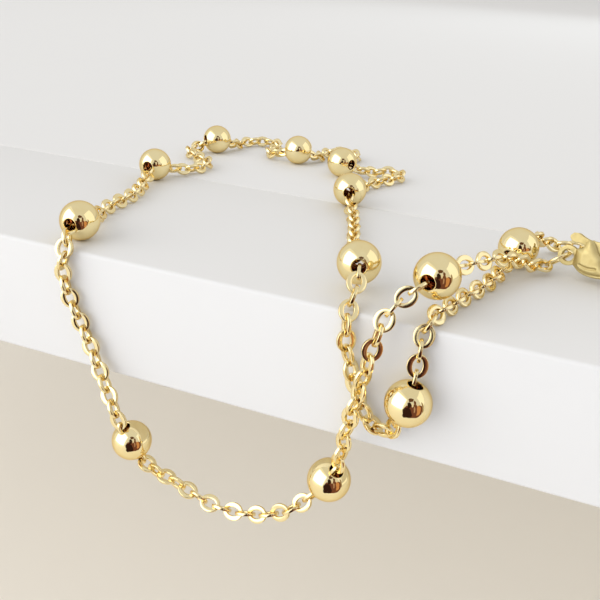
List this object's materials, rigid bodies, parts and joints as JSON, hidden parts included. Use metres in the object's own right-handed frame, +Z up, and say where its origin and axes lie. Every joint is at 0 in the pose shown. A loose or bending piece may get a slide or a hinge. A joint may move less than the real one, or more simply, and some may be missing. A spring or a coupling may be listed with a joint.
{
  "type": "beaded necklace",
  "caption": "Gold-coloured station necklace: round polished beads spaced along a fine flat-link cable chain, closed with a lobster clasp, in the drape it takes over the edge of a ledge.",
  "frame": {"origin": "on the top front edge of the ledge the necklace is draped over (edge not part of the row), midway between the outermost places where the chain crosses it", "axes": "+Z up; +X along the edge, towards the clasp; +Y away from the edge, over the ledge's top. The ledge's top is z = 0 and its front face is y = 0."},
  "size_m": [0.0977, 0.0903, 0.0448],
  "materials": {
    "bead_gold": "mirror-polished gold plate",
    "chain_gold": "bright gold plate, lightly tumbled",
    "clasp_gold": "cast and barrel-polished gold plate"
  },
  "bodies": {
    "necklace": {"bead_01": "bead_gold", "bead_02": "bead_gold", "bead_03": "bead_gold", "bead_04": "bead_gold", "bead_05": "bead_gold", "bead_06": "bead_gold", "bead_07": "bead_gold", "bead_08": "bead_gold", "bead_09": "bead_gold", "bead_10": "bead_gold", "bead_11": "bead_gold", "bead_12": "bead_gold", "chain_01": "chain_gold", "chain_02": "chain_gold", "chain_03": "chain_gold", "chain_04": "chain_gold", "chain_05": "chain_gold", "chain_06": "chain_gold", "chain_07": "chain_gold", "chain_08": "chain_gold", "chain_09": "chain_gold", "chain_10": "chain_gold", "chain_11": "chain_gold", "chain_12": "chain_gold", "chain_13": "chain_gold", "jump_ring": "chain_gold", "end_ring": "clasp_gold", "clasp_body": "clasp_gold"},
    "lever": {"clasp_lever": "clasp_gold"}
  },
  "joints": [
    {"name": "clasp_lever_hinge", "type": "hinge", "parent": "necklace", "child": "lever", "pos_m": [0.04267, 0.02973, 0.00353], "axis": [0.2008, 0.9448, -0.2588], "range_deg": [0, 20], "stiffness_Nm_per_rad": 0.006}
  ]
}
